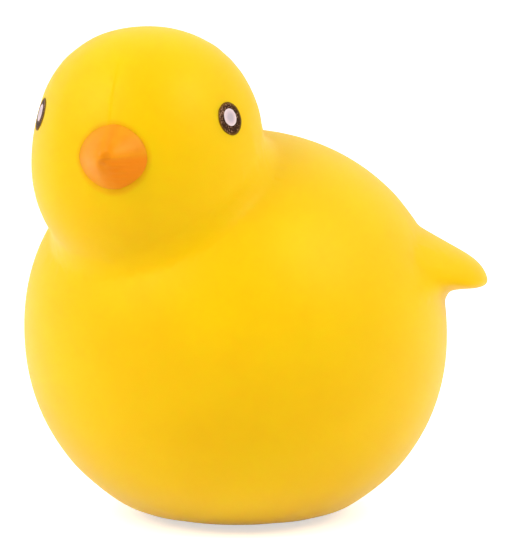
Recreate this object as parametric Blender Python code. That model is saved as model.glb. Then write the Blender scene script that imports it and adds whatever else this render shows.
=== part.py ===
"""Squeeze chick: one soft moulded body on a flat base, with a sprayed beak and printed eyes.

The chick's body looks along -Y, its tail points along +Y and its base stands on z = 0, with the
origin under the middle of the round body. The head is turned toward +X. All sizes are in metres.
"""

import math

import bmesh
import bpy
import numpy as np
from mathutils import Vector

MM = 0.001

# Round body
BODY_WIDTH = 56.4 * MM
BODY_HEIGHT = 53.7 * MM  # of the full round, before the base is cut from it
BODY_WAIST = 24.7 * MM  # height of the widest part above the base
BODY_FULLNESS = 2.11  # 2 is an ellipse seen from the side, and more is squarer
BODY_LEAN = math.radians(0.95)  # of the body's axis, forward
BASE_ROUNDING = 1.9 * MM

# Head
HEAD_WIDTH = 30.4 * MM
HEAD_HEIGHT = 33.3 * MM
HEAD_FULLNESS = 2.17
HEAD_SINK = 2.1 * MM  # how far the head's middle is below the top of the round body
HEAD_FORWARD = 10.5 * MM
HEAD_SIDEWAYS = 12.4 * MM
NECK_FILLET = 2.5 * MM
FACE_TURN = math.radians(78.3)  # from straight ahead, toward +X

# Tail: a round cone lying on its side, pressed from above and below, with its root in the body
TAIL_REACH = 5.3 * MM  # of the tip past the body's side
TAIL_TIP_WIDTH = 15.0 * MM  # across the round end
TAIL_TIP_RISE = 8.4 * MM  # of the middle of the round end above the widest part of the body
TAIL_ROOT_RISE = 13.5 * MM  # the same at the body's axis
TAIL_ROOT_SINK = 2.85 * MM  # how deep the root's sides lie under the body's skin
TAIL_CROWN_PRESS = 1.92  # how many times flatter than round the upper half is
TAIL_BELLY_PRESS = 3.98  # the same for the lower half
TAIL_TOP_FILLET = 0.3 * MM
TAIL_UNDER_FILLET = 2.5 * MM
TAIL_FILLET_CHANGE = 4.0 * MM  # height over which one fillet passes into the other

# Beak, measured over its paint
BEAK_WIDTH = 9.1 * MM
BEAK_HEIGHT = 8.8 * MM
BEAK_LENGTH = 3.8 * MM  # in front of the head
BEAK_RISE = 1.1 * MM  # of the beak's middle above the head's middle
BEAK_TIP_RISE = 0.5 * MM  # of the tip above the beak's middle
BEAK_SQUARENESS = 1.85  # 1 is a sharp diamond seen from the front, 2 is an oval
BEAK_BLUNTNESS = 1.45  # 1 is a straight taper, 2 is a dome
BEAK_TIP_ROUNDING = 0.12  # of the half width, over which the point of the taper is rounded off
BEAK_FILLET = 0.6 * MM

# Eyes: a dark printed ring round a pale spot
EYE_SPREAD = math.radians(63.7)  # of each eye from the middle between them
EYES_ASIDE = math.radians(2.1)  # of that middle from the beak's, toward the chick's left
EYE_RISE = 5.6 * MM  # above the head's middle
EYE_DIAMETER = 4.4 * MM
SPOT_DIAMETER = 2.3 * MM
SPOT_RISE = 0.18 * MM  # of the spot's middle above the ring's middle
EYE_FLAT_DEPTH = 0.5 * MM  # how far the round of the head is pressed in at each eye
EYE_FLAT_REACH = 5.5 * MM  # how far that reaches from the eye's middle

# Paint and print
FILM = 0.3 * MM
FILM_GAP = 0.3 * MM
FILM_PROBE = 8.0 * MM  # how far inside and outside the head a film looks for the skin

# Fineness of the faces and of the search for the skin
GRID_CUTS = 15
FINE_FACE = 0.8 * MM  # faces with shorter edges aren't divided again
BEND_LIMIT = math.radians(20)
REFINEMENTS = 2
RAY_STEPS = 240
ROOT_HALVINGS = 26
NUDGE = 0.02 * MM  # the step over which a slope is measured
FLAT_ERROR = 0.001 * MM
HEART_RISE = 17.0 * MM  # above the widest part of the body
EYE_SEGMENTS = 24
EYE_RINGS = 2
BEAK_SEGMENTS = 32
BEAK_RINGS = 6

# Places that follow from the sizes
UP = np.array([0.0, 0.0, 1.0])
BODY_CENTRE = UP * BODY_WAIST
HEAD_CENTRE = np.array([HEAD_SIDEWAYS, -HEAD_FORWARD, BODY_WAIST + BODY_HEIGHT / 2 - HEAD_SINK])
FACE = np.array([math.sin(FACE_TURN), -math.cos(FACE_TURN), 0.0])
FACE_LEFT = np.cross(UP, FACE)
TAIL_TIP_Y = BODY_WIDTH / 2 + TAIL_REACH - TAIL_TIP_WIDTH / 2
TAIL_FALL = (TAIL_ROOT_RISE - TAIL_TIP_RISE) / TAIL_TIP_Y
FAR = BODY_WIDTH + HEAD_HEIGHT + TAIL_REACH  # further than any point of the chick
HEART = BODY_CENTRE + UP * HEART_RISE  # a point that has all of the skin in sight


def egg(points, centre, half_width, half_height, fullness):
    """Distance to an upright egg that is round in plan, negative inside it."""
    offset = points - centre
    across = np.hypot(offset[..., 0], offset[..., 1]) / half_width
    along = np.abs(offset[..., 2]) / half_height
    reach = np.maximum((across**fullness + along**fullness) ** (1 / fullness), 1e-6)
    pull = fullness - 1
    slope = np.hypot(across**pull / half_width, along**pull / half_height) / reach**pull
    return (reach - 1) / np.maximum(slope, 1 / FAR)


def round_body(points):
    """Distance to the round body, whose axis leans forward."""
    upright = points.copy()
    upright[..., 1] += math.tan(BODY_LEAN) * (points[..., 2] - BODY_WAIST)
    return egg(upright, BODY_CENTRE, BODY_WIDTH / 2, BODY_HEIGHT / 2, BODY_FULLNESS)


def eye_direction(side):
    """Level direction from the head's axis to an eye. side is 1 for the left and -1 for the right."""
    turn = FACE_TURN + EYES_ASIDE + side * EYE_SPREAD
    return np.array([math.sin(turn), -math.cos(turn), 0.0])


def head(points):
    """Distance to the head, an egg that is a little flat at each eye."""
    distance = egg(points, HEAD_CENTRE, HEAD_WIDTH / 2, HEAD_HEIGHT / 2, HEAD_FULLNESS)
    for side in (1, -1):
        eye_place = HEAD_CENTRE + UP * EYE_RISE + eye_direction(side) * HEAD_WIDTH / 2
        away = np.linalg.norm(points - eye_place, axis=-1) / EYE_FLAT_REACH
        distance = distance + EYE_FLAT_DEPTH * np.exp(-away * away)
    return distance


def joined(first, second, fillet):
    """Distance to two forms that meet in a round fillet."""
    u = np.maximum(fillet - first, 0)
    v = np.maximum(fillet - second, 0)
    return np.maximum(fillet, np.minimum(first, second)) - np.hypot(u, v)


def trimmed(first, second, rounding):
    """Distance to what two forms have in common, with the edge between them rounded."""
    u = np.maximum(rounding + first, 0)
    v = np.maximum(rounding + second, 0)
    return np.minimum(-rounding, np.maximum(first, second)) + np.hypot(u, v)


def tapered_disc(along, across, length, root_radius, tip_radius):
    """Distance to the outline drawn tight round two circles, the second a length along the axis."""
    lean = (root_radius - tip_radius) / length
    side = math.sqrt(1 - lean * lean)
    reach = along * side - across * lean
    to_root = np.hypot(along, across)
    to_tip = np.hypot(along - length, across)
    at_root = reach < 0
    at_tip = reach > length * side
    distance = along * lean + across * side - root_radius
    distance = np.where(at_root, to_root - root_radius, distance)
    return np.where(at_tip, to_tip - tip_radius, distance)


def body_radius_at(rise):
    """Radius of the round body at a height above its widest part."""
    share = max(1 - (rise / (BODY_HEIGHT / 2)) ** BODY_FULLNESS, 0.0)
    return BODY_WIDTH / 2 * share ** (1 / BODY_FULLNESS)


def above_tail(points):
    """Height above the tail's middle surface, which slopes down to the tip."""
    middle = BODY_WAIST + TAIL_TIP_RISE + (TAIL_TIP_Y - points[..., 1]) * TAIL_FALL
    return points[..., 2] - middle


def tail(points):
    """Distance to the tail: the half of the pressed cone that lies behind the body's axis."""
    root_radius = body_radius_at(TAIL_ROOT_RISE) - TAIL_ROOT_SINK
    x, y, rise = points[..., 0], points[..., 1], above_tail(points)
    press = np.where(rise > 0, TAIL_CROWN_PRESS, TAIL_BELLY_PRESS)
    high = rise * press

    def cone(s, n, h):
        return tapered_disc(s, np.hypot(n, h), TAIL_TIP_Y, root_radius, TAIL_TIP_WIDTH / 2)

    slope_y = cone(y + NUDGE, x, high) - cone(y - NUDGE, x, high)
    slope_x = cone(y, x + NUDGE, high) - cone(y, x - NUDGE, high)
    slope_z = press * (cone(y, x, high + NUDGE) - cone(y, x, high - NUDGE))
    slope_y = slope_y + slope_z * TAIL_FALL
    slope = np.sqrt(slope_x**2 + slope_y**2 + slope_z**2) / (2 * NUDGE)
    return np.maximum(cone(y, x, high) / np.maximum(slope, 1e-6), -y)


def tail_fillet(points):
    """Radius of the fillet between the body and the tail, wider under the tail than over it."""
    share = np.clip(0.5 - above_tail(points) / TAIL_FILLET_CHANGE, 0.0, 1.0)
    share = share * share * (3 - 2 * share)
    return TAIL_TOP_FILLET + (TAIL_UNDER_FILLET - TAIL_TOP_FILLET) * share


def in_face_frame(points):
    """Coordinates toward the face's left, up, and out of the head, from the head's middle."""
    offset = points - HEAD_CENTRE
    return offset @ FACE_LEFT, offset @ UP, offset @ FACE


def beak_root_depth():
    """How far in front of the head's middle its skin lies at the corners of the beak."""
    half = BEAK_WIDTH / HEAD_WIDTH
    return HEAD_WIDTH / 2 * math.sqrt(1 - half * half)


def beak(points, inset):
    """Distance to the beak, a blunt rounded taper, thinner by an inset."""
    left, up, out = in_face_frame(points)
    depth = beak_root_depth()
    length = HEAD_WIDTH / 2 + BEAK_LENGTH - depth

    def shape(across, high, forward):
        share = np.maximum((forward - depth) / length, 0.0)
        lift = BEAK_RISE + BEAK_TIP_RISE * np.minimum(share, 1.0)
        u = np.abs(across) / (BEAK_WIDTH / 2)
        v = np.abs(high - lift) / (BEAK_HEIGHT / 2)
        ring = (u**BEAK_SQUARENESS + v**BEAK_SQUARENESS) ** (1 / BEAK_SQUARENESS)
        return np.hypot(ring, BEAK_TIP_ROUNDING) ** BEAK_BLUNTNESS + share - 1

    value = shape(left, up, out)
    slope = np.sqrt(
        (shape(left + NUDGE, up, out) - shape(left - NUDGE, up, out)) ** 2
        + (shape(left, up + NUDGE, out) - shape(left, up - NUDGE, out)) ** 2
        + (shape(left, up, out + NUDGE) - shape(left, up, out - NUDGE)) ** 2
    ) / (2 * NUDGE)
    return np.maximum(value / np.maximum(slope, 1 / FAR) + inset, depth / 2 - out)


def skin(points):
    """Distance to the moulded chick, negative inside it."""
    form = joined(round_body(points), head(points), NECK_FILLET)
    form = joined(form, tail(points), tail_fillet(points))
    form = joined(form, beak(points, FILM + FILM_GAP), BEAK_FILLET)
    return trimmed(form, -points[..., 2], BASE_ROUNDING)


def slope_of(field, points):
    """Unit outward direction of a distance field."""
    sides = [field(points + NUDGE * axis) - field(points - NUDGE * axis) for axis in np.eye(3)]
    slope = np.stack(sides, axis=-1)
    return slope / np.maximum(np.linalg.norm(slope, axis=-1, keepdims=True), 1e-12)


def outermost(starts, directions, far, height):
    """Points furthest along each ray where the skin is at a given height."""
    depths = np.linspace(0.0, far, RAY_STEPS)
    along = starts[:, None, :] + directions[:, None, :] * depths[None, :, None]
    inside = skin(along) < height
    last = RAY_STEPS - 1 - np.argmax(inside[:, ::-1], axis=1)
    near = depths[np.minimum(last, RAY_STEPS - 2)]
    beyond = near + depths[1]
    for _ in range(ROOT_HALVINGS):
        middle = (near + beyond) / 2
        within = skin(starts + directions * middle[:, None]) < height
        near = np.where(within, middle, near)
        beyond = np.where(within, beyond, middle)
    return starts + directions * ((near + beyond) / 2)[:, None]


def press_onto_skin(mesh):
    """Moves each point of a mesh straight out from the chick's heart onto the skin."""
    points = np.array([vertex.co for vertex in mesh.verts])
    directions = points - HEART
    directions /= np.linalg.norm(directions, axis=1, keepdims=True)
    starts = np.repeat(HEART[None], len(points), axis=0)
    points = outermost(starts, directions, FAR, 0.0)
    flat = np.abs(points[:, 2]) < FLAT_ERROR
    points[flat, 2] = 0.0
    for vertex, place in zip(mesh.verts, points):
        vertex.co = place


def refine_where_bent(mesh):
    """Splits the faces across which the skin turns quickly."""
    points = np.array([vertex.co for vertex in mesh.verts])
    slopes = slope_of(skin, points)
    bent = []
    for face in mesh.faces:
        corners = [vertex.index for vertex in face.verts]
        turn = min(float(slopes[a] @ slopes[b]) for a in corners for b in corners)
        longest = max(edge.calc_length() for edge in face.edges)
        if turn < math.cos(BEND_LIMIT) and longest > FINE_FACE:
            bent.append(face)
    edges = list({edge for face in bent for edge in face.edges})
    bmesh.ops.subdivide_edges(mesh, edges=edges, cuts=1, use_grid_fill=True)


def finished_object(name, mesh, material):
    """An object from a bmesh, shaded smooth, in its own material."""
    bmesh.ops.recalc_face_normals(mesh, faces=mesh.faces)
    data = bpy.data.meshes.new(name)
    mesh.to_mesh(data)
    mesh.free()
    data.materials.append(material)
    data.shade_smooth()
    thing = bpy.data.objects.new(name, data)
    bpy.context.scene.collection.objects.link(thing)
    return thing


def soft_material(name, colour, roughness):
    """A Principled material of one colour."""
    material = bpy.data.materials.new(name)
    material.use_nodes = True
    shader = material.node_tree.nodes["Principled BSDF"]
    shader.inputs["Base Color"].default_value = (*colour, 1.0)
    shader.inputs["Roughness"].default_value = roughness
    shader.inputs["Metallic"].default_value = 0.0
    return material


def even_grid(corner):
    """Moves a point of a divided cube so that all the cells take about the same angle."""
    return Vector([math.tan(value * math.pi / 4) for value in corner]) * MM


def chick_body():
    """The moulded body: a divided cube pressed out onto the skin, finer where the skin bends."""
    mesh = bmesh.new()
    bmesh.ops.create_cube(mesh, size=2.0)
    bmesh.ops.subdivide_edges(mesh, edges=mesh.edges[:], cuts=GRID_CUTS, use_grid_fill=True)
    for vertex in mesh.verts:
        vertex.co = Vector(HEART) + even_grid(vertex.co)
    press_onto_skin(mesh)
    for _ in range(REFINEMENTS):
        mesh.verts.index_update()
        refine_where_bent(mesh)
        press_onto_skin(mesh)
    bmesh.ops.triangulate(mesh, faces=mesh.faces[:])
    yellow = soft_material("yellow_skin", (0.95, 0.58, 0.0), 0.5)
    return finished_object("chick_body", mesh, yellow)


def film(name, centre, outward, sideways, outline, rings, segments, inner, material):
    """A thin closed film that follows the skin.

    outline and inner give the film's outer and inner rim as functions of an angle, each a pair
    of distances sideways and up from the film's middle. With no inner rim the film is a disc.
    """
    mesh = bmesh.new()
    upward = np.cross(outward, sideways)
    shares = np.linspace(0.0, 1.0, rings + 1)
    flats = []
    for share in shares if inner else shares[1:]:
        for step in range(segments):
            angle = 2 * math.pi * step / segments
            outer_rim = np.array(outline(angle))
            inner_rim = np.array(inner(angle)) if inner else np.zeros(2)
            flats.append(inner_rim + (outer_rim - inner_rim) * share)
    if not inner:
        flats.append(np.zeros(2))
    flats = np.array(flats)
    starts = centre + flats[:, :1] * sideways + flats[:, 1:] * upward - outward * FILM_PROBE
    directions = np.repeat(outward[None], len(starts), axis=0)
    points = outermost(starts, directions, 2 * FILM_PROBE, FILM_GAP)
    spots = [mesh.verts.new(point) for point in points]
    loops = len(shares) if inner else rings
    for ring in range(loops - 1):
        for step in range(segments):
            after = (step + 1) % segments
            a, b = ring * segments + step, ring * segments + after
            mesh.faces.new([spots[i] for i in (a, b, b + segments, a + segments)])
    if not inner:
        for step in range(segments):
            mesh.faces.new([spots[i] for i in (len(spots) - 1, step, (step + 1) % segments)])
    thing = finished_object(name, mesh, material)
    if sum(polygon.normal.dot(Vector(outward)) for polygon in thing.data.polygons) < 0:
        thing.data.flip_normals()
    thickness = thing.modifiers.new("film", "SOLIDIFY")
    thickness.thickness = FILM
    thickness.offset = 1.0
    return thing


def beak_paint(material):
    """The sprayed paint over the whole beak."""

    def rim(angle):
        c, s = math.cos(angle), math.sin(angle)
        power = BEAK_SQUARENESS
        reach = (abs(c) ** power + abs(s) ** power) ** (-1 / power)
        return BEAK_WIDTH / 2 * reach * c, BEAK_HEIGHT / 2 * reach * s

    centre = HEAD_CENTRE + FACE * HEAD_WIDTH / 2 + UP * BEAK_RISE
    return film(
        "beak_paint", centre, FACE, FACE_LEFT, rim, BEAK_RINGS, BEAK_SEGMENTS, None, material
    )


def eye(side, name, dark, pale):
    """The printed ring and spot of one eye. side is 1 for the chick's left and -1 for its right."""
    outward = eye_direction(side)
    start = (HEAD_CENTRE + UP * EYE_RISE)[None]
    centre = outermost(start, outward[None], HEAD_WIDTH, 0.0)[0]
    normal = slope_of(skin, centre[None])[0]
    back = side * np.cross(UP, normal)
    back /= np.linalg.norm(back)
    sideways = side * back
    spot_place = 0.0, SPOT_RISE

    def circle(radius, place=(0.0, 0.0)):
        return lambda angle: (
            place[0] + radius * math.cos(angle),
            place[1] + radius * math.sin(angle),
        )

    ring_rim = circle(EYE_DIAMETER / 2)
    ring_hole = circle(SPOT_DIAMETER / 2 + FILM_GAP / 2, spot_place)
    spot_rim = circle(SPOT_DIAMETER / 2, spot_place)
    fineness = EYE_RINGS, EYE_SEGMENTS
    film(f"{name}_ring", centre, normal, sideways, ring_rim, *fineness, ring_hole, dark)
    film(f"{name}_spot", centre, normal, sideways, spot_rim, *fineness, None, pale)


def build():
    for old in list(bpy.data.objects):
        bpy.data.objects.remove(old, do_unlink=True)
    chick_body()
    beak_paint(soft_material("beak_orange", (0.9, 0.34, 0.03), 0.45))
    dark = soft_material("eye_brown", (0.05, 0.02, 0.01), 0.4)
    pale = soft_material("eye_white", (0.85, 0.72, 0.72), 0.4)
    eye(1, "left_eye", dark, pale)
    eye(-1, "right_eye", dark, pale)


build()
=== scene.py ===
# %% [markdown]
# A squeeze chick, dressed for its portrait.
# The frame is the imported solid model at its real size. It fixes where everything goes, and this lesson adds what
# makes it look moulded from soft yellow rubber: a finer skin, a parting line, a sprayed beak and printed eyes.

# %% Load the frame
import math

import bpy
from mathutils import Matrix, Vector, noise


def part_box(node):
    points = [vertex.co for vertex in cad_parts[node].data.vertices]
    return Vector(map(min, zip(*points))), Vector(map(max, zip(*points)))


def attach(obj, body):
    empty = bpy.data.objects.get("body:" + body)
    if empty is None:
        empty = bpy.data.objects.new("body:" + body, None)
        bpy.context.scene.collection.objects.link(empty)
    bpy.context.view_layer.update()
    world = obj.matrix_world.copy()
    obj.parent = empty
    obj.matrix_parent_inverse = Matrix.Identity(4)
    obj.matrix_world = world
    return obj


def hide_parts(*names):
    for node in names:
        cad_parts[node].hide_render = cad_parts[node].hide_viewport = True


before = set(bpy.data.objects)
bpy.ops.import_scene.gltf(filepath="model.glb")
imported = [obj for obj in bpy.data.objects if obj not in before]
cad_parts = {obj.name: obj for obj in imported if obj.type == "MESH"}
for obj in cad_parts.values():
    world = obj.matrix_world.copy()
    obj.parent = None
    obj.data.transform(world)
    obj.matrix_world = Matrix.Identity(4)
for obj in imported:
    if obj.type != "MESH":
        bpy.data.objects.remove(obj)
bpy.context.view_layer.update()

MM = 0.001

# %% [markdown]
# The sizes that the looks need. The head is an egg shape on the round body, and its middle, its width and the way
# the face looks are the same values that the solid model was made from. The box of a solid gives no direction, so
# the face's turn is written here again.

# %% Sizes shared by the pieces
BODY_MIDDLE = Vector((0, 0, 24.7)) * MM
HEAD_MIDDLE = Vector((12.4, -10.5, 49.45)) * MM
HEAD_WIDTH = 30.4 * MM
FACE_TURN = math.radians(78.3)
FACE = Vector((math.sin(FACE_TURN), -math.cos(FACE_TURN), 0))
UP = Vector((0, 0, 1))
FACE_LEFT = UP.cross(FACE)

BEAK_WIDTH = 9.1 * MM
BEAK_HEIGHT = 8.8 * MM
BEAK_LENGTH = 3.8 * MM
BEAK_RISE = 1.1 * MM
BEAK_TIP_RISE = 0.5 * MM
BEAK_SQUARENESS = 1.85
BEAK_BLUNTNESS = 1.45
BEAK_TIP_ROUNDING = 0.12
BEAK_ROOT = HEAD_WIDTH / 2 * math.sqrt(1 - (BEAK_WIDTH / HEAD_WIDTH) ** 2)
print("The beak starts", round(BEAK_ROOT / MM, 2), "mm in front of the head's middle")

# %% [markdown]
# The camera comes first. The photograph was taken from the chick's left side and a little above the level, from far
# enough away that the chick hardly tapers. So this camera stands half a metre off with a long lens. It looks
# past the body's middle, a little to its right and above it, because the tail and the head reach out there.

# %% Camera
PICTURE_HEIGHT = 552
PIXEL = 0.13352 * MM
CAMERA_DISTANCE = 520 * MM
CAMERA_AZIMUTH = math.radians(94)
CAMERA_ELEVATION = math.radians(8)
SENSOR = 36.0
LOOK_ASIDE = 2.64 * MM
LOOK_ABOVE = 7.18 * MM

back = Vector((
    math.sin(CAMERA_AZIMUTH) * math.cos(CAMERA_ELEVATION),
    -math.cos(CAMERA_AZIMUTH) * math.cos(CAMERA_ELEVATION),
    math.sin(CAMERA_ELEVATION),
))
camera_right = Vector((math.cos(CAMERA_AZIMUTH), math.sin(CAMERA_AZIMUTH), 0))
camera_up = back.cross(camera_right)
look_at = BODY_MIDDLE + camera_right * LOOK_ASIDE + camera_up * LOOK_ABOVE

bpy.ops.object.camera_add()
camera = bpy.context.object
camera.name = "portrait_camera"
camera.location = look_at + back * CAMERA_DISTANCE
camera.rotation_mode = "QUATERNION"
camera.rotation_quaternion = back.to_track_quat("Z", "Y")
camera.data.sensor_width = SENSOR
camera.data.lens = SENSOR * CAMERA_DISTANCE / (PIXEL * PICTURE_HEIGHT)
camera.data.clip_start = 0.01
camera.data.clip_end = 20
bpy.context.scene.camera = camera
print("Lens:", round(camera.data.lens), "mm")

# %% [markdown]
# Small helpers. An operator works on what is selected, so each piece starts from nothing selected. A modifier is
# applied as soon as it is set, so that the mesh which is seen is the mesh which is kept.


# %% Helpers for modelling
def pick(thing):
    """Makes one object the only selected and the active one."""
    bpy.ops.object.select_all(action="DESELECT")
    thing.select_set(True)
    bpy.context.view_layer.objects.active = thing


def finish_with(thing, kind, **settings):
    """Adds a modifier to an object and applies it."""
    pick(thing)
    modifier = thing.modifiers.new(kind.lower(), kind)
    for name, value in settings.items():
        setattr(modifier, name, value)
    bpy.ops.object.modifier_apply(modifier=modifier.name)


def smooth_step(value):
    """A soft switch from 0 to 1."""
    value = min(max(value, 0.0), 1.0)
    return value * value * (3 - 2 * value)


def hump(offset, width):
    """A bell curve that is 1 at no offset."""
    return math.exp(-((offset / width) ** 2))


def on_the_face(point):
    """A point as distances toward the face's left, up, and out from the head's middle."""
    offset = Vector(point) - HEAD_MIDDLE
    return offset.dot(FACE_LEFT), offset.dot(UP), offset.dot(FACE)


def in_the_room(left, up, out):
    """The point at those distances from the head's middle."""
    return HEAD_MIDDLE + FACE_LEFT * left + UP * up + FACE * out


# %% [markdown]
# The skin is one moulded piece with no edge anywhere but the rim of its base. The solid model already has its
# form, in flat facets. A copy of it, with its loose triangles joined up again and turned back into four-sided
# faces, takes a subdivision surface well, and that rounds every facet away. Rounding also pulls the points
# inward, most of all at the tip of the tail. So a trial copy is smoothed first, and each point is moved out
# by as much as the trial pulled it in.

# %% Moulded skin
SHRINK_ROUNDS = 3

bpy.ops.object.select_all(action="DESELECT")
skin = bpy.data.objects.new("moulded_skin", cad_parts["chick_body"].data.copy())
bpy.context.scene.collection.objects.link(skin)
pick(skin)
bpy.ops.object.mode_set(mode="EDIT")
bpy.ops.mesh.select_all(action="SELECT")
bpy.ops.mesh.remove_doubles(threshold=0.005 * MM)
bpy.ops.mesh.tris_convert_to_quads(face_threshold=math.radians(60), shape_threshold=math.radians(60))
bpy.ops.object.mode_set(mode="OBJECT")


def smoothed_copy(thing, levels):
    """A copy of an object with a subdivision surface applied. Its first points are the old ones."""
    copy = thing.copy()
    copy.data = thing.data.copy()
    bpy.context.scene.collection.objects.link(copy)
    finish_with(copy, "SUBSURF", levels=levels, render_levels=levels)
    return copy


corners = [vertex.co.copy() for vertex in skin.data.vertices]
for _ in range(SHRINK_ROUNDS):
    trial = smoothed_copy(skin, 1)
    for corner, vertex, moved in zip(corners, skin.data.vertices, trial.data.vertices):
        vertex.co += corner - moved.co
    bpy.data.objects.remove(trial, do_unlink=True)
finish_with(skin, "SUBSURF", levels=2, render_levels=2)
bpy.ops.object.shade_smooth()
print("Skin:", len(skin.data.polygons), "faces")

# %% [markdown]
# Where the two halves of a mould meet they leave a fine line. On this chick it runs from the crown down the front
# of the head to the beak, and one side of it stands a hair higher than the other. The mesh is cut along three
# planes close together, and the points on one side of them are moved out by less than the thickness of paper.

# %% Parting line
STEP_HEIGHT = 0.07 * MM
STEP_REACH = 2.2 * MM
SEAM_ASIDE = -0.55 * MM
SEAM_TOP = 14.5 * MM
SEAM_FADE = 3.0 * MM
CUT_SHIFT = 0.12 * MM


def select_faces(thing, wanted):
    """Selects the faces whose middle passes a test, and leaves the object in edit mode."""
    pick(thing)
    bpy.ops.object.mode_set(mode="EDIT")
    bpy.ops.mesh.select_mode(type="FACE")
    bpy.ops.mesh.select_all(action="DESELECT")
    bpy.ops.object.mode_set(mode="OBJECT")
    for face in thing.data.polygons:
        face.select = wanted(face.center)
    bpy.ops.object.mode_set(mode="EDIT")


def on_forehead(point):
    left, up, out = on_the_face(point)
    return abs(left) < 3 * MM and up > 0 and out > 2 * MM


for cut in (-1, 0, 1):
    select_faces(skin, on_forehead)
    cut_at = HEAD_MIDDLE + FACE_LEFT * (SEAM_ASIDE + cut * CUT_SHIFT)
    bpy.ops.mesh.bisect(plane_co=cut_at, plane_no=FACE_LEFT)
    bpy.ops.object.mode_set(mode="OBJECT")

for vertex in skin.data.vertices:
    left, up, out = on_the_face(vertex.co)
    left -= SEAM_ASIDE
    if out < 0 or up < 0 or abs(left) > 3 * STEP_REACH:
        continue
    fade = smooth_step((SEAM_TOP - up) / SEAM_FADE)
    higher = STEP_HEIGHT * hump(left, STEP_REACH) * smooth_step(0.5 - left / (2 * CUT_SHIFT))
    vertex.co += vertex.normal * (higher * fade)
skin.data.update()
print("Skin with its parting line:", len(skin.data.polygons), "faces")

# %% [markdown]
# The beak was sprayed orange through a stencil after moulding. Its form is a blunt rounded taper. A sphere whose
# pole looks out of the face is pressed into that form: each point keeps its angle round the beak, and its distance
# from the pole says how far down the taper it lies. The back of the sphere stays inside the head. A step for
# the mouth, a dent at the tip, one below it, a shallow valley down from the parting line and fine ribs come
# with it, because each is a bend of the same surface.

# %% Beak
MOUTH_RISE = 0.40 * MM
MOUTH_SLOPE = 0.05
MOUTH_STEP = 0.24 * MM
TIP_DENT = 0.24 * MM
TIP_DENT_PLACE = 0.35 * MM, 0.75 * MM
LOW_DENT = 0.18 * MM
LOW_DENT_PLACE = -0.30 * MM, -0.57 * MM
DENT_REACH = 0.55 * MM
VALLEY_DEPTH = 0.17 * MM
RIB_HEIGHT = 0.045 * MM
RIB_SPACING = 0.8 * MM
BEAK_BACK = 2.5 * MM

bpy.ops.object.select_all(action="DESELECT")
bpy.ops.mesh.primitive_uv_sphere_add(segments=128, ring_count=96, radius=1.0)
beak = bpy.context.object
beak.name = "sprayed_beak"


def rim_reach(angle):
    """How far the beak's outline is from its middle, as a share of its half width or height."""
    power = BEAK_SQUARENESS
    return (abs(math.cos(angle)) ** power + abs(math.sin(angle)) ** power) ** (-1 / power)


def relief(left, up):
    """How far the fine forms of the beak rise over its plain taper."""
    inside = smooth_step(2.2 - 2.2 * math.hypot(left / (BEAK_WIDTH / 2), up / (BEAK_HEIGHT / 2)))
    lower = smooth_step((MOUTH_RISE + MOUTH_SLOPE * left - up) / (0.3 * MM))
    mouth = -MOUTH_STEP * lower * smooth_step((left + 1.2 * MM) / (1.6 * MM))
    dent = -TIP_DENT * hump(math.dist((left, up), TIP_DENT_PLACE), DENT_REACH)
    dent -= LOW_DENT * hump(math.dist((left, up), LOW_DENT_PLACE), DENT_REACH)
    valley = -VALLEY_DEPTH * hump(left + 0.1 * MM, 0.5 * MM) * smooth_step((up + 0.2 * MM) / MM)
    ribs = RIB_HEIGHT * math.sin(2 * math.pi * up / RIB_SPACING) * lower * smooth_step(left / MM)
    return (mouth + dent + valley + ribs) * inside


length = HEAD_WIDTH / 2 + BEAK_LENGTH - BEAK_ROOT
for vertex in beak.data.vertices:
    x, y, z = vertex.co
    angle = math.atan2(y, x)
    share = math.acos(min(max(abs(z), 0), 1)) / (math.pi / 2)
    reach = rim_reach(angle) * share
    blunt = math.hypot(share, BEAK_TIP_ROUNDING) ** BEAK_BLUNTNESS
    left = BEAK_WIDTH / 2 * reach * math.cos(angle)
    up = BEAK_HEIGHT / 2 * reach * math.sin(angle)
    if z >= 0:
        out = BEAK_ROOT + length * (1 - blunt)
        up += BEAK_TIP_RISE * (1 - share)
        out += relief(left, up)
    else:
        out = BEAK_ROOT - BEAK_BACK * (1 - share)
    vertex.co = in_the_room(left, up + BEAK_RISE, out)
bpy.ops.object.mode_set(mode="EDIT")
bpy.ops.mesh.select_all(action="SELECT")
bpy.ops.mesh.remove_doubles(threshold=0.002 * MM)
bpy.ops.mesh.normals_make_consistent(inside=False)
bpy.ops.object.mode_set(mode="OBJECT")
bpy.ops.object.shade_smooth()
print("Beak:", len(beak.data.polygons), "faces")

# %% [markdown]
# The eyes are printed with a soft pad, so they lie on the skin like a sticker with no thickness to speak of. Each is
# a disc that is laid against the head where its solid sits, wrapped onto the skin, and given a little
# body. The pad leaves a slightly uneven edge, so the outline wavers.

# %% Eyes
EYE_DIAMETER = 4.4 * MM
SPOT_DIAMETER = 2.3 * MM
SPOT_RISE = 0.18 * MM
INK = 0.04 * MM
INK_GAP = 0.01 * MM
HEAD_FLATNESS = 0.8
DISC_RINGS = 10


def middle_of(node):
    low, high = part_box(node)
    return (low + high) / 2


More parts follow.
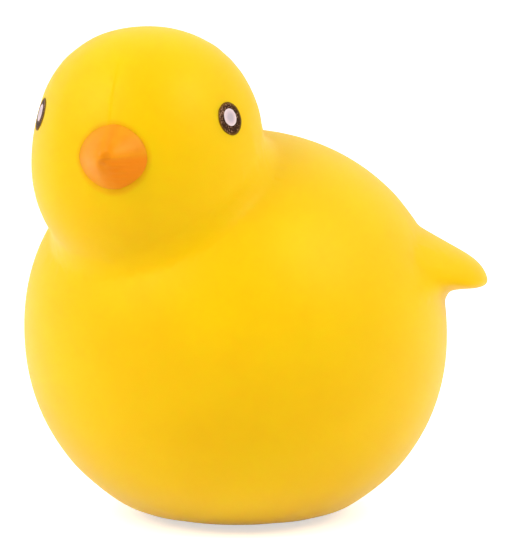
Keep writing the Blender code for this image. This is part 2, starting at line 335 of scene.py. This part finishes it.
def printed_disc(name, place, outward, diameter, lift, waver, seed):
    """A disc of ink wrapped onto the skin. waver is how uneven its outline is, as a share."""
    bpy.ops.object.select_all(action="DESELECT")
    bpy.ops.mesh.primitive_circle_add(vertices=96, radius=diameter / 2, fill_type="NGON")
    disc = bpy.context.object
    disc.name = name
    bpy.ops.object.mode_set(mode="EDIT")
    bpy.ops.mesh.select_all(action="SELECT")
    for _ in range(DISC_RINGS - 1):
        bpy.ops.mesh.inset(thickness=diameter / 2 / DISC_RINGS)
    bpy.ops.object.mode_set(mode="OBJECT")
    for vertex in disc.data.vertices:
        wobble = noise.noise(vertex.co.normalized() * 4 + Vector((seed, 0, 0)))
        vertex.co *= 1 + waver * wobble * (vertex.co.length / (diameter / 2)) ** 4
    turn = outward.to_track_quat("Z", "Y").to_matrix().to_4x4()
    disc.data.transform(Matrix.Translation(place) @ turn)
    finish_with(
        disc, "SHRINKWRAP", target=skin, wrap_method="NEAREST_SURFACEPOINT",
        wrap_mode="ABOVE_SURFACE", offset=lift,
    )
    finish_with(disc, "SOLIDIFY", thickness=INK, offset=1.0)
    bpy.ops.object.shade_smooth()
    return disc


eyes = []
for seed, side in enumerate(("left", "right")):
    place = middle_of(f"{side}_eye_ring")
    outward = place - HEAD_MIDDLE
    outward.z *= HEAD_FLATNESS
    outward.normalize()
    ring = printed_disc(f"{side}_eye_dark", place, outward, EYE_DIAMETER, INK_GAP, 0.02, seed)
    to_beak = (UP.cross(outward) * (-1 if side == "left" else 1)).normalized()
    spot_place = place + UP * SPOT_RISE
    spot = printed_disc(
        f"{side}_eye_pale", spot_place, outward, SPOT_DIAMETER, INK + 2 * INK_GAP, 0.015, seed + 5
    )
    eyes.append((side, ring, spot, place, spot_place, to_beak))
    print(side, "eye:", len(ring.data.polygons), "faces")

# %% [markdown]
# Helpers for materials. Each finish is built from nodes on the Principled shader. Patterns read Object
# coordinates, which are metres here because every piece sits at the origin.


# %% Helpers for materials
def finish(name, thing):
    """A new node material on a piece, with its shader and a maker of linked nodes."""
    material = bpy.data.materials.new(name)
    material.use_nodes = True
    thing.data.materials.clear()
    thing.data.materials.append(material)
    nodes = material.node_tree.nodes
    links = material.node_tree.links

    def add(kind, inputs=None, **settings):
        node = nodes.new(kind)
        for key, value in settings.items():
            setattr(node, key, value)
        for key, value in (inputs or {}).items():
            if isinstance(value, bpy.types.NodeSocket):
                links.new(value, node.inputs[key])
            else:
                node.inputs[key].default_value = value
        return node

    return nodes["Principled BSDF"], add, links


def ramp(add, source, stops):
    """A colour ramp over a value. stops are (position, colour) pairs."""
    node = add("ShaderNodeValToRGB", {"Fac": source})
    elements = node.color_ramp.elements
    while len(elements) < len(stops):
        elements.new(0.5)
    for element, (position, colour) in zip(elements, stops):
        element.position = position
        element.color = (*colour, 1.0)
    return node.outputs["Color"]


def maths(add, operation, first, second=0.5):
    """One step of arithmetic in a material."""
    return add("ShaderNodeMath", {0: first, 1: second}, operation=operation).outputs[0]


def spread(add, value, low, high, bottom=0.0, top=1.0):
    """Moves a value from one range to another, and stops it at the ends."""
    inputs = {"Value": value, "From Min": low, "From Max": high, "To Min": bottom, "To Max": top}
    return add("ShaderNodeMapRange", inputs).outputs["Result"]


def offset_along(add, place, middle, way):
    """How far a place on the piece lies from a middle, along one direction."""
    offset = add("ShaderNodeVectorMath", {0: place, 1: middle}, operation="SUBTRACT").outputs[0]
    return add("ShaderNodeVectorMath", {0: offset, 1: way}, operation="DOT_PRODUCT").outputs["Value"]


def from_middle(add, place, middle, radius):
    """How far a place is from a middle, as a share of a radius."""
    gap = add("ShaderNodeVectorMath", {0: place, 1: middle}, operation="DISTANCE").outputs["Value"]
    return maths(add, "DIVIDE", gap, radius)


def mixed(add, share, first, second):
    """A mix of two colours."""
    node = add("ShaderNodeMix", data_type="RGBA", blend_type="MIX")
    inputs = {"Factor": share, "A": first, "B": second}
    for socket in node.inputs:
        value = inputs.get(socket.name)
        if value is None or socket.type not in ("RGBA", "VALUE") or not socket.enabled:
            continue
        if isinstance(value, bpy.types.NodeSocket):
            socket.id_data.links.new(value, socket)
        else:
            socket.default_value = value
    return next(socket for socket in node.outputs if socket.enabled)


# %% [markdown]
# The rubber is soft, clouded and dyed right through. Light goes in and comes out again a few millimetres away,
# warmer than it went in, so thin places glow and creases never go dark. Its surface is satin from the mould's
# fine blasting, with a powdery bloom that catches light at a glancing angle. Round the beak the skin gets a faint
# orange rim: a painted glow that stands in for the orange light the beak scatters into the rubber.

# %% Yellow rubber
# How far past the beak's outline the painted orange glow reaches, as a share of the beak's half size.
BEAK_GLOW_REACH = 0.13

shader, add, links = finish("yellow_rubber", skin)
place = add("ShaderNodeTexCoord").outputs["Object"]
clouds = add("ShaderNodeTexNoise", {"Vector": place, "Scale": 90.0, "Detail": 3.0}).outputs["Fac"]
yellow = ramp(add, clouds, [(0.3, (0.95, 0.555, 0.0)), (0.7, (0.98, 0.60, 0.0))])
beside = offset_along(add, place, HEAD_MIDDLE, FACE_LEFT)
above = offset_along(add, place, HEAD_MIDDLE + UP * BEAK_RISE, UP)
before = offset_along(add, place, HEAD_MIDDLE, FACE)
wide = maths(add, "ABSOLUTE", maths(add, "DIVIDE", beside, BEAK_WIDTH / 2))
wide = maths(add, "POWER", wide, BEAK_SQUARENESS)
high = maths(add, "ABSOLUTE", maths(add, "DIVIDE", above, BEAK_HEIGHT / 2))
high = maths(add, "POWER", high, BEAK_SQUARENESS)
reach = maths(add, "POWER", maths(add, "ADD", wide, high), 1 / BEAK_SQUARENESS)
# Painted glow: orange light from the beak, painted onto the skin as a rim that fades away from the beak's outline.
painted_glow = spread(add, reach, 1.0, 1.0 + BEAK_GLOW_REACH, 0.8, 0.0)
painted_glow = maths(add, "MULTIPLY", painted_glow, spread(add, before, 0.0, MM))
yellow = mixed(add, painted_glow, yellow, (0.98, 0.44, 0.0, 1.0))
links.new(yellow, shader.inputs["Base Color"])
shader.inputs["Subsurface Weight"].default_value = 0.55
shader.inputs["Subsurface Radius"].default_value = (1.0, 0.45, 0.08)
shader.inputs["Subsurface Scale"].default_value = 4.0 * MM
shader.inputs["IOR"].default_value = 1.45
shader.inputs["Specular IOR Level"].default_value = 0.35
shader.inputs["Specular Tint"].default_value = (1.0, 0.9, 0.3, 1.0)
shader.inputs["Sheen Weight"].default_value = 0.12
shader.inputs["Sheen Roughness"].default_value = 0.35
shader.inputs["Sheen Tint"].default_value = (1.0, 0.9, 0.55, 1.0)
grain = add("ShaderNodeTexNoise", {"Vector": place, "Scale": 2600.0, "Detail": 2.0}).outputs["Fac"]
dull = add("ShaderNodeMapRange", {"Value": grain, "To Min": 0.44, "To Max": 0.54}).outputs["Result"]
links.new(dull, shader.inputs["Roughness"])
bump = add("ShaderNodeBump", {"Height": grain, "Strength": 0.08, "Distance": 0.05 * MM})
links.new(bump.outputs["Normal"], shader.inputs["Normal"])

# %% [markdown]
# The beak's orange is a thin coat of sprayed paint over the yellow. Below the mouth line, most of all toward the
# right, the orange is painted deeper as painted shade, where the lower beak faces down. The two dents and the valley
# down from the parting line get painted shade, and the ridges beside the upper dent get painted highlights.

# %% Sprayed orange
# Painted shade for the two dents, and painted highlight for the ridges beside the upper dent.
DENT_SHADE = (0.62, 0.14, 0.0)
RIDGE_HIGHLIGHT = (1.0, 0.46, 0.07)
PAINTED_LIGHT_SPOTS = (
    ((-0.60 * MM, 1.20 * MM), 0.75 * MM, 0.6, RIDGE_HIGHLIGHT),
    ((1.25 * MM, 1.15 * MM), 0.95 * MM, 0.5, RIDGE_HIGHLIGHT),
    (TIP_DENT_PLACE, 1.00 * MM, 0.8, DENT_SHADE),
    (LOW_DENT_PLACE, 1.05 * MM, 0.7, DENT_SHADE),
)

shader, add, links = finish("sprayed_orange", beak)
place = add("ShaderNodeTexCoord").outputs["Object"]
mottle = add("ShaderNodeTexNoise", {"Vector": place, "Scale": 350.0, "Detail": 4.0}).outputs["Fac"]
orange = ramp(add, mottle, [(0.3, (0.84, 0.270, 0.002)), (0.7, (0.92, 0.330, 0.006))])
beside = offset_along(add, place, HEAD_MIDDLE, FACE_LEFT)
above = offset_along(add, place, HEAD_MIDDLE + UP * BEAK_RISE, UP)
under = maths(add, "SUBTRACT", above, maths(add, "MULTIPLY", beside, MOUTH_SLOPE))
below = spread(add, under, MOUTH_RISE - 0.5 * MM, MOUTH_RISE + 0.1 * MM, 1.0, 0.0)
rightward = spread(add, beside, -1.6 * MM, 1.0 * MM)
# Painted shade: the lower beak faces down, so its orange is painted deeper there.
shade_below_mouth = maths(add, "MULTIPLY", below, rightward)
orange = mixed(add, maths(add, "MULTIPLY", shade_below_mouth, 0.7), orange, (0.90, 0.225, 0.0, 1.0))
# Painted shade in the shallow valley that runs down from the parting line to the tip dent.
aside = maths(add, "ABSOLUTE", maths(add, "SUBTRACT", beside, TIP_DENT_PLACE[0]))
valley = spread(add, aside, 0.1 * MM, 0.8 * MM, 0.4, 0.0)
valley = maths(add, "MULTIPLY", valley, spread(add, above, 0.8 * MM, 1.6 * MM))
orange = mixed(add, valley, orange, (0.78, 0.22, 0.0, 1.0))
# Each spot mixes painted shade or painted highlight into the orange, fading out from its middle.
for (left, up), size, strength, colour in PAINTED_LIGHT_SPOTS:
    spot_middle = in_the_room(left, up + BEAK_RISE, HEAD_WIDTH / 2 + BEAK_LENGTH)
    near = spread(add, from_middle(add, place, spot_middle, size), 0.3, 1.0, strength, 0.0)
    orange = mixed(add, near, orange, (*colour, 1.0))
links.new(orange, shader.inputs["Base Color"])
shader.inputs["Subsurface Weight"].default_value = 0.3
shader.inputs["Subsurface Radius"].default_value = (1.0, 0.4, 0.1)
shader.inputs["Subsurface Scale"].default_value = 1.0 * MM
shader.inputs["Roughness"].default_value = 0.42
shader.inputs["Specular IOR Level"].default_value = 0.3
shader.inputs["Specular Tint"].default_value = (1.0, 0.7, 0.35, 1.0)
grain = add("ShaderNodeTexNoise", {"Vector": place, "Scale": 2200.0, "Detail": 2.0}).outputs["Fac"]
bump = add("ShaderNodeBump", {"Height": grain, "Strength": 0.12, "Distance": 0.05 * MM})
links.new(bump.outputs["Normal"], shader.inputs["Normal"])

# %% [markdown]
# The eye inks. The dark brown went on unevenly, with small pale specks where the pad lifted it, most of all
# toward the beak and the crown, and it thins to olive at its edge. The pale spot is a pinkish white, a
# little greyer in its middle.


# %% Printed inks
def brown_ink(thing, middle, to_beak):
    shader, add, links = finish("brown_ink", thing)
    place = add("ShaderNodeTexCoord").outputs["Object"]
    specks = add("ShaderNodeTexNoise", {"Vector": place, "Scale": 4200.0, "Detail": 2.0}).outputs["Fac"]
    worn = offset_along(add, place, middle, (to_beak * 0.8 + UP * 0.6).normalized())
    worn = spread(add, worn, -EYE_DIAMETER / 4, EYE_DIAMETER / 2, 0.0, 0.11)
    speck = maths(add, "ADD", specks, worn)
    ink = ramp(add, speck, [
        (0.50, (0.028, 0.008, 0.001)), (0.60, (0.070, 0.024, 0.006)), (0.72, (0.36, 0.19, 0.11)),
    ])
    edge = spread(add, from_middle(add, place, middle, EYE_DIAMETER / 2), 0.84, 1.0)
    links.new(mixed(add, edge, ink, (0.22, 0.10, 0.001, 1.0)), shader.inputs["Base Color"])
    shader.inputs["Roughness"].default_value = 0.55
    shader.inputs["Specular IOR Level"].default_value = 0.08


def pale_ink(thing, middle):
    shader, add, links = finish("pale_ink", thing)
    place = add("ShaderNodeTexCoord").outputs["Object"]
    cloud = add("ShaderNodeTexNoise", {"Vector": place, "Scale": 1500.0, "Detail": 2.0}).outputs["Fac"]
    near = from_middle(add, place, middle, SPOT_DIAMETER / 2)
    paler = spread(add, near, 0.45, 0.95, 0.0, 0.8)
    cloudy = maths(add, "ADD", paler, maths(add, "MULTIPLY", cloud, 0.25))
    colour = ramp(add, cloudy, [
        (0.10, (0.54, 0.44, 0.48)), (0.50, (0.70, 0.54, 0.57)), (0.95, (0.86, 0.68, 0.67)),
    ])
    links.new(colour, shader.inputs["Base Color"])
    shader.inputs["Roughness"].default_value = 0.5
    shader.inputs["Specular IOR Level"].default_value = 0.3


for side, ring, spot, ring_middle, spot_middle, to_beak in eyes:
    brown_ink(ring, ring_middle, to_beak)
    pale_ink(spot, spot_middle)

# %% [markdown]
# Every piece rides on the one body of the frame and stands for the solid it was made over.

# %% Tie the pieces to the frame
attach(skin, "root")
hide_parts("chick_body")
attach(beak, "root")
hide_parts("beak_paint")
for side, ring, spot, *_ in eyes:
    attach(ring, "root")
    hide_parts(f"{side}_eye_ring")
    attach(spot, "root")
    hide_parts(f"{side}_eye_spot")

# %% [markdown]
# The studio is a white table under a white sky, with two broad soft lamps. The floor is lit like everything
# else and keeps the chick's shadow. A little light of its own, which only the camera and reflections see, lifts it
# to the white of paper.

# %% Floor
FLOOR_LIFT = 0.60

bpy.ops.object.select_all(action="DESELECT")
bpy.ops.mesh.primitive_plane_add(size=8)
floor = bpy.context.object
floor.name = "studio_floor"
shader, add, links = finish("white_table", floor)
shader.inputs["Base Color"].default_value = (0.88, 0.88, 0.88, 1.0)
shader.inputs["Roughness"].default_value = 0.9
shader.inputs["Specular IOR Level"].default_value = 0.1
rays = add("ShaderNodeLightPath")
seen = rays.outputs["Is Camera Ray"]
for kind in ("Is Glossy Ray", "Is Transmission Ray"):
    seen = maths(add, "MAXIMUM", seen, rays.outputs[kind])
lift = maths(add, "MULTIPLY", seen, FLOOR_LIFT)
shader.inputs["Emission Color"].default_value = (1.0, 1.0, 1.0, 1.0)
links.new(lift, shader.inputs["Emission Strength"])

# %% [markdown]
# The sky is brighter at the sides and behind than it is in front, as in a white tent with an open front. The front of
# the chick then shows its own deep yellow, and its edges turn pale. The camera and reflections see white all over.

# %% Sky
FRONT_LIGHT = 0.10
SIDE_LIGHT = 0.74

world = bpy.data.worlds.new("white_sky")
bpy.context.scene.world = world
world.use_nodes = True
nodes, links = world.node_tree.nodes, world.node_tree.links


def sky_node(kind, inputs, **settings):
    """A node of the sky. Inputs are values or sockets."""
    node = nodes.new(kind)
    for key, value in settings.items():
        setattr(node, key, value)
    for key, value in inputs.items():
        if isinstance(value, bpy.types.NodeSocket):
            links.new(value, node.inputs[key])
        else:
            node.inputs[key].default_value = value
    return node


way = sky_node("ShaderNodeTexCoord", {}).outputs["Generated"]
front = sky_node("ShaderNodeVectorMath", {0: way, 1: back}, operation="DOT_PRODUCT").outputs["Value"]
level = sky_node("ShaderNodeMapRange", {
    "Value": front, "From Min": 0.0, "From Max": 0.8, "To Min": SIDE_LIGHT, "To Max": FRONT_LIGHT,
}).outputs["Result"]
rays = nodes.new("ShaderNodeLightPath")
seen = rays.outputs["Is Camera Ray"]
for kind in ("Is Glossy Ray", "Is Transmission Ray"):
    seen = sky_node("ShaderNodeMath", {0: seen, 1: rays.outputs[kind]}, operation="MAXIMUM").outputs[0]
strength = sky_node("ShaderNodeMapRange", {"Value": seen, "To Min": level, "To Max": 1.0})
sky = nodes["Background"]
sky.inputs["Color"].default_value = (1.0, 1.0, 1.0, 1.0)
links.new(strength.outputs["Result"], sky.inputs["Strength"])


# %% [markdown]
# Two broad soft lamps stand to the left and to the right of the camera, well above the chick. They put the pale
# patches on the crown, on the back and along the left side.

# %% Lamps
LAMP_DISTANCE = 0.9
LAMP_SIZE = 0.45
LAMP_AIM = Vector((0, 0, 35)) * MM


def soft_lamp(name, aside_angle, height_angle, power):
    """A square lamp that looks at the chick. Angles are from the camera's side and from the level."""
    bpy.ops.object.light_add(type="AREA")
    lamp = bpy.context.object
    lamp.name = name
    turn = CAMERA_AZIMUTH + math.radians(aside_angle)
    rise = math.radians(height_angle)
    way = Vector((math.sin(turn) * math.cos(rise), -math.cos(turn) * math.cos(rise), math.sin(rise)))
    lamp.location = LAMP_AIM + way * LAMP_DISTANCE
    lamp.rotation_mode = "QUATERNION"
    lamp.rotation_quaternion = way.to_track_quat("Z", "Y")
    lamp.data.shape = "SQUARE"
    lamp.data.size = LAMP_SIZE
    lamp.data.energy = power


soft_lamp("left_softbox", -60, 39, 4.7)
soft_lamp("right_softbox", 60, 42, 4.25)
bpy.context.scene.view_settings.view_transform = "Standard"
